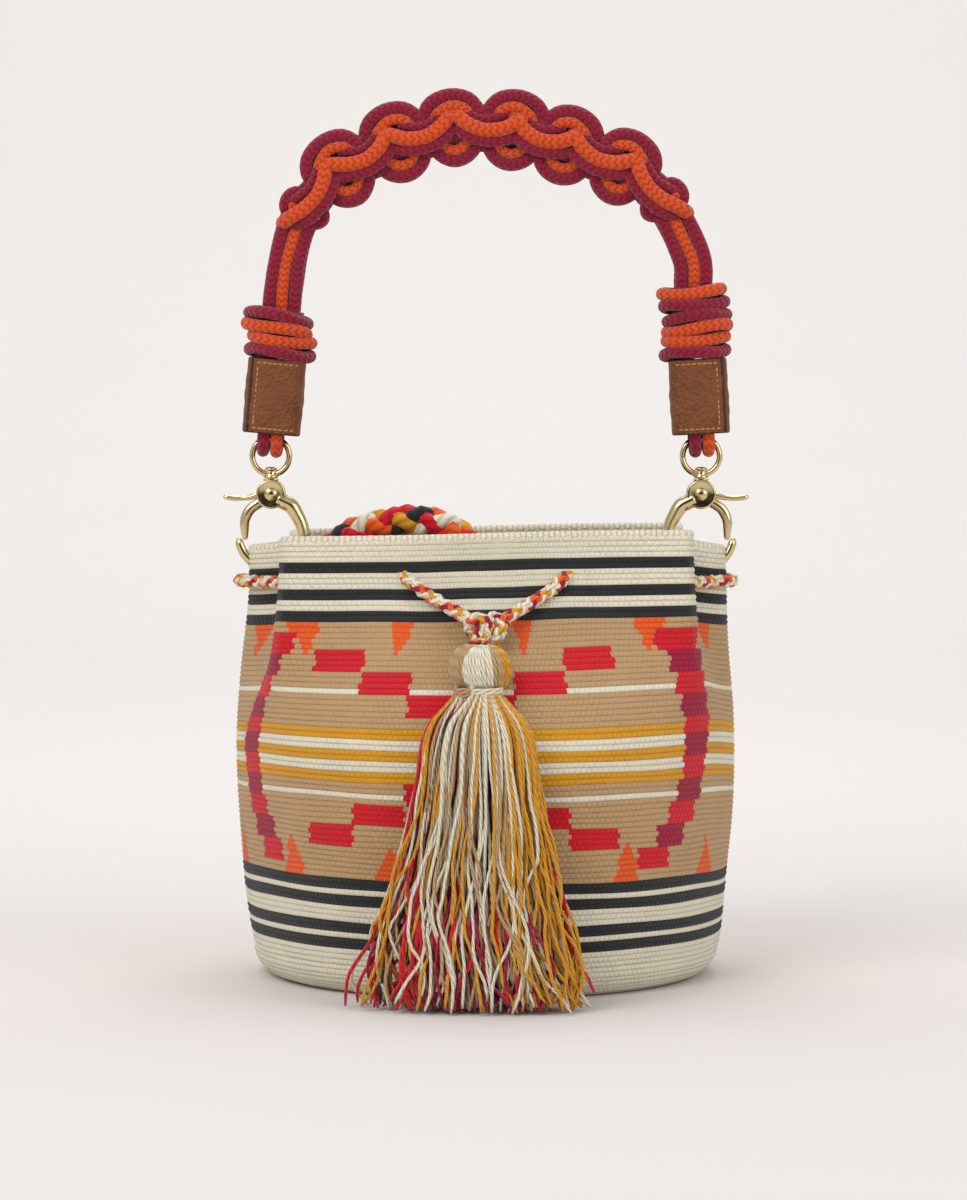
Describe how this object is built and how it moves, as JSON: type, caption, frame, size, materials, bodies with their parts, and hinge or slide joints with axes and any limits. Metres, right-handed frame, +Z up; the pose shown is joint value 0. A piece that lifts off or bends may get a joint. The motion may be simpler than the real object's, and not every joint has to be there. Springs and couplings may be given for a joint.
{
  "type": "crossbody bag",
  "caption": "Round crochet bucket bag with a drawstring, front tassels, a braided strap tucked inside and a clip-on knotted rope handle.",
  "frame": {"origin": "middle of the flat base, on the surface the bag stands on", "axes": "+Z up, the tassels' front towards -Y, +X to the right as seen from the front"},
  "size_m": [0.2102, 0.2225, 0.351],
  "materials": {
    "crochet_shell": "tight single crochet in cotton yarn",
    "twisted_cord": "twisted multicolour yarn cord",
    "tassel_yarn": "loose plied yarn",
    "braided_strap": "braided multicolour yarn",
    "crimson_rope": "braided rope, dyed",
    "orange_rope": "braided rope, dyed",
    "brown_leather": "grained, stitched",
    "pale_gold_metal": "polished pale gold plate"
  },
  "bodies": {
    "bag": {"bag_shell": "crochet_shell", "drawstring": "twisted_cord", "strap_hump": "braided_strap", "strap_tail": "braided_strap", "strap_coil": "braided_strap", "strap_left_end": "braided_strap", "strap_right_end": "braided_strap"},
    "knot": {"drawstring_knot": "twisted_cord"},
    "tassels": {"left_tassel": "tassel_yarn", "right_tassel": "tassel_yarn", "left_tassel_tie": "tassel_yarn", "right_tassel_tie": "tassel_yarn", "tassel_hanger": "twisted_cord"},
    "handle": {"knotted_grip": "crimson_rope", "left_crimson_loop": "crimson_rope", "left_orange_loop": "orange_rope", "left_sleeve": "brown_leather", "left_end_knot": "crimson_rope", "right_crimson_loop": "crimson_rope", "right_orange_loop": "orange_rope", "right_sleeve": "brown_leather", "right_end_knot": "crimson_rope"},
    "left_ring": {"left_swivel_eye": "pale_gold_metal"},
    "left_clasp": {"left_hook": "pale_gold_metal", "left_swivel_post": "pale_gold_metal", "left_rivet": "pale_gold_metal", "left_trigger_spring": "pale_gold_metal"},
    "left_gate": {"left_trigger": "pale_gold_metal"},
    "right_ring": {"right_swivel_eye": "pale_gold_metal"},
    "right_clasp": {"right_hook": "pale_gold_metal", "right_swivel_post": "pale_gold_metal", "right_rivet": "pale_gold_metal", "right_trigger_spring": "pale_gold_metal"},
    "right_gate": {"right_trigger": "pale_gold_metal"}
  },
  "joints": [
    {"name": "left_swing", "type": "hinge", "parent": "bag", "child": "left_ring", "pos_m": [-0.0944, 0, 0.16508], "axis": [1, 0, 0], "range_deg": [-26, 26]},
    {"name": "left_swivel", "type": "hinge", "parent": "left_ring", "child": "left_clasp", "pos_m": [-0.086, 0, 0.199], "axis": [0, 0, 1], "range_deg": [-8, 8]},
    {"name": "left_trigger_press", "type": "hinge", "parent": "left_clasp", "child": "left_gate", "pos_m": [-0.086, 0, 0.1914], "axis": [0, -1, 0], "range_deg": [0, 16], "stiffness_Nm_per_rad": 0.02, "springref_deg": -11.46},
    {"name": "right_swing", "type": "hinge", "parent": "bag", "child": "right_ring", "pos_m": [0.0944, 0, 0.16508], "axis": [1, 0, 0], "range_deg": [-26, 26]},
    {"name": "right_swivel", "type": "hinge", "parent": "right_ring", "child": "right_clasp", "pos_m": [0.086, 0, 0.199], "axis": [0, 0, 1], "range_deg": [-8, 8]},
    {"name": "right_trigger_press", "type": "hinge", "parent": "right_clasp", "child": "right_gate", "pos_m": [0.086, 0, 0.1914], "axis": [0, 1, 0], "range_deg": [0, 16], "stiffness_Nm_per_rad": 0.02, "springref_deg": -11.46},
    {"name": "handle_fold", "type": "hinge", "parent": "left_ring", "child": "handle", "pos_m": [-0.086, 0, 0.214], "axis": [1, 0, 0], "range_deg": [-60, 60]},
    {"name": "tassel_sway", "type": "hinge", "parent": "bag", "child": "knot", "pos_m": [0, -0.07643, 0.1409], "axis": [0, 1, 0], "range_deg": [-8, 8]},
    {"name": "tassel_lift", "type": "hinge", "parent": "knot", "child": "tassels", "pos_m": [0, -0.07643, 0.1409], "axis": [-1, 0, 0], "range_deg": [0, 50]}
  ],
  "couplings": [
    {"joint": "right_swing", "follows": "left_swing", "ratio": 1}
  ]
}
